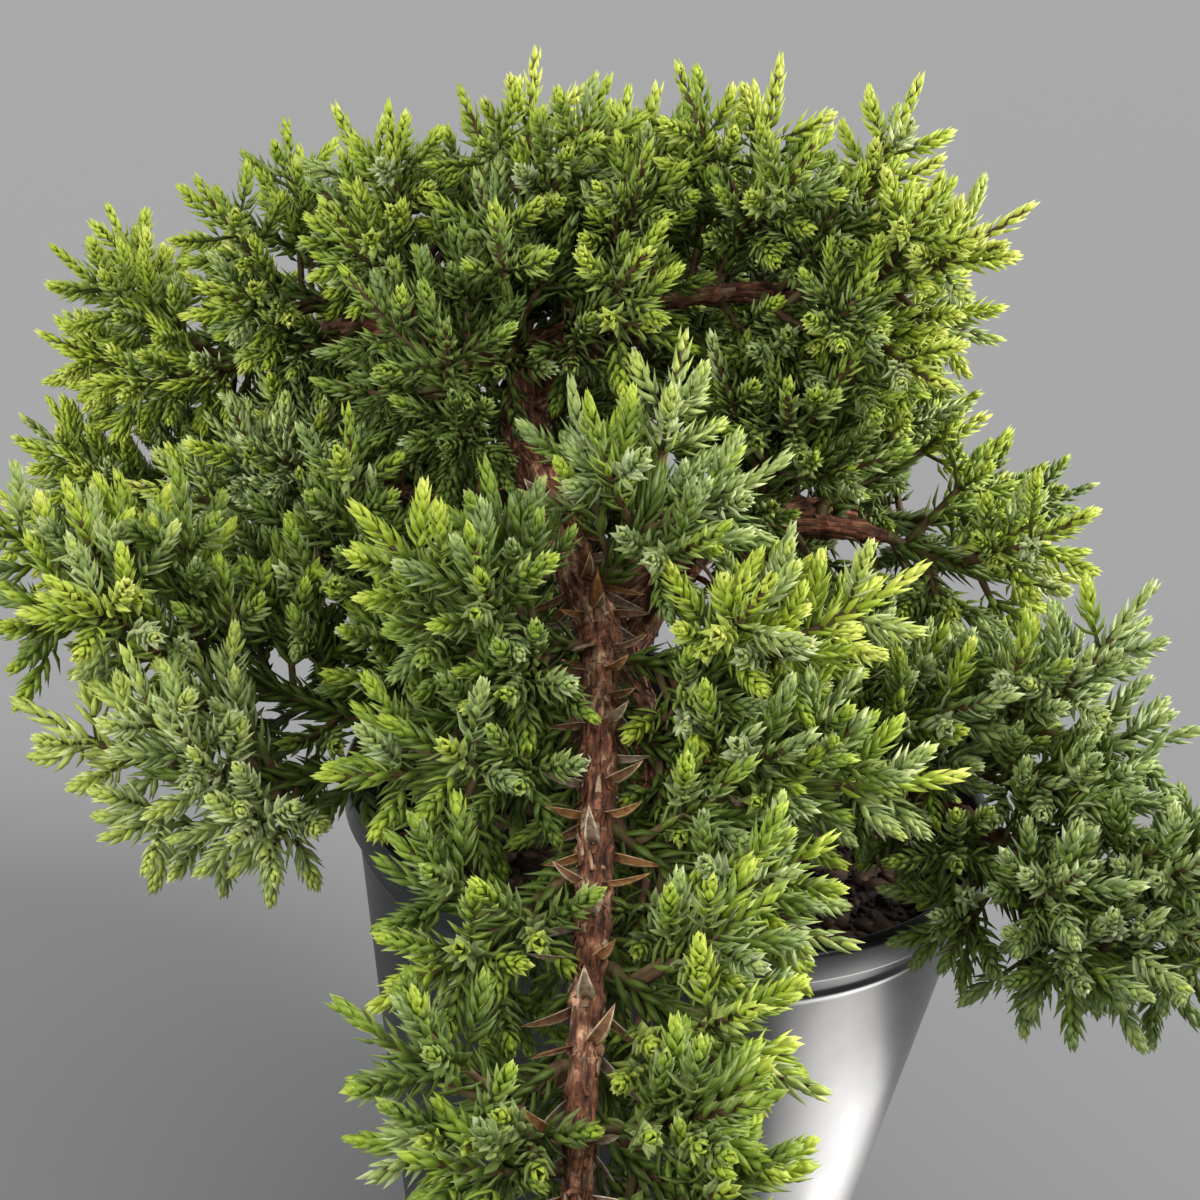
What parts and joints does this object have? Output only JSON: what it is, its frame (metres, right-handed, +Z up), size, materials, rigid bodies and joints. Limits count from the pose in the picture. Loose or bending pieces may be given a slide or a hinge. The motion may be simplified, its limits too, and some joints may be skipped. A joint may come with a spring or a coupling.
{
  "type": "potted dwarf garden juniper",
  "caption": "Dwarf Japanese garden juniper with short blue-green to yellow-green needles on arching boughs, in a round black nursery pot.",
  "frame": {"origin": "centre of the pot's flat underside", "axes": "+Z up along the pot's axis; -Y is the front, the side the long bough comes forward on; +X is to the right seen from the front"},
  "size_m": [0.243, 0.293, 0.2181],
  "materials": {
    "pot": "glossy black thin-walled nursery pot",
    "soil": "moist dark bark and peat mix",
    "bark": "thin flaky red-brown bark",
    "foliage": "matt waxy needles, blue-green inside and yellow-green at the tips"
  },
  "bodies": {
    "root": {"pot": "pot", "soil": "soil", "trunk": "bark", "bough_front_upper": "bark", "bough_front_lower": "bark", "bough_left_front": "bark", "bough_left_back": "bark", "bough_left_low": "bark", "bough_right_back": "bark", "bough_right_front": "bark", "bough_right_top": "bark", "bough_back": "bark", "bough_back_right": "bark", "bough_back_low": "bark", "upright_spray": "foliage", "front_left_upper": "foliage", "front_left_side": "foliage", "front_left_middle": "foliage", "front_left_tip": "foliage", "front_right_upper": "foliage", "front_right_side": "foliage", "front_right_middle": "foliage", "front_right_lower": "foliage", "front_right_tip": "foliage", "front_end": "foliage", "left_front_low": "foliage", "left_front_high": "foliage", "left_front_inner": "foliage", "middle_left": "foliage", "middle_heart": "foliage", "left_back": "foliage", "left_back_high": "foliage", "left_back_low": "foliage", "left_middle": "foliage", "dome_left": "foliage", "dome_centre": "foliage", "dome_middle": "foliage", "dome_right": "foliage", "dome_far_right": "foliage", "middle_spray": "foliage", "right_high": "foliage", "right_centre": "foliage", "right_back_high": "foliage", "right_back": "foliage", "right_low": "foliage", "right_front_inner": "foliage", "right_front_outer": "foliage", "right_front_far": "foliage", "right_front_low": "foliage", "back_top": "foliage", "back_end": "foliage", "back_left": "foliage", "back_right_high": "foliage", "back_right": "foliage", "back_low": "foliage", "back_right_low": "foliage", "back_left_low": "foliage", "back_middle": "foliage", "back_inner": "foliage"}
  },
  "joints": []
}
